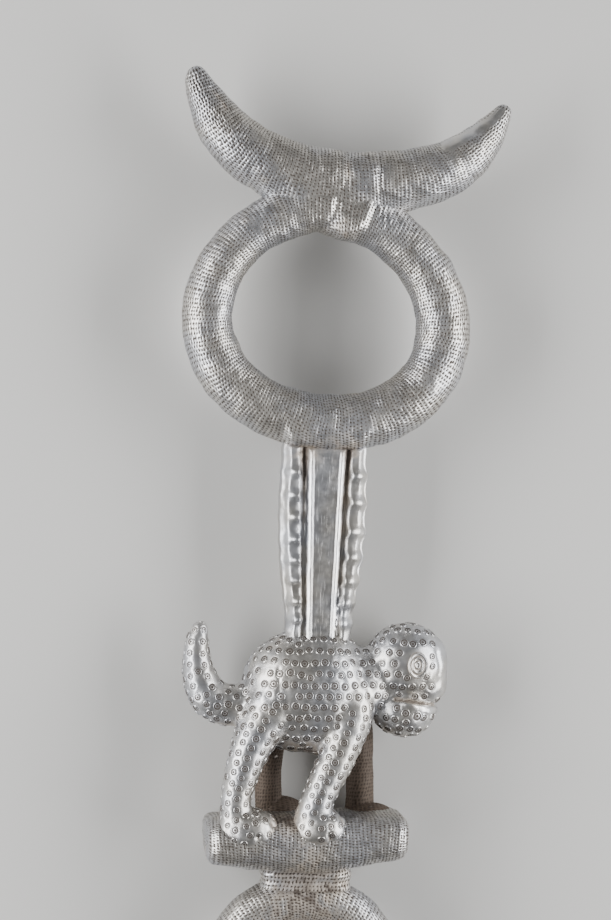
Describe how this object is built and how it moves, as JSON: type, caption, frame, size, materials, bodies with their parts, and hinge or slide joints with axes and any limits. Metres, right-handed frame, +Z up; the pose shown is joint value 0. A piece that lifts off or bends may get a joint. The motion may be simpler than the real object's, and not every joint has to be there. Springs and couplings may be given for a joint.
{
  "type": "ceremonial staff",
  "caption": "Ceremonial staff lying on its back: a standing spotted cat on a bar carries a fluted neck, a ring and a crescent, above a smaller ring and a plain tapering shaft.",
  "frame": {"origin": "on the surface that the staff lies on, under the middle of its outline", "axes": "+Y along the staff from its foot towards the crescent, +X to the right of its face, +Z up out of its face"},
  "size_m": [0.1366, 0.9842, 0.0419],
  "materials": {
    "silvery_sheet": "thin silvery sheet hammered over carved wood, punched all over, worn bright on raised parts with brown dirt in the hollows"
  },
  "bodies": {
    "root": {"staff": "silvery_sheet"}
  },
  "joints": []
}
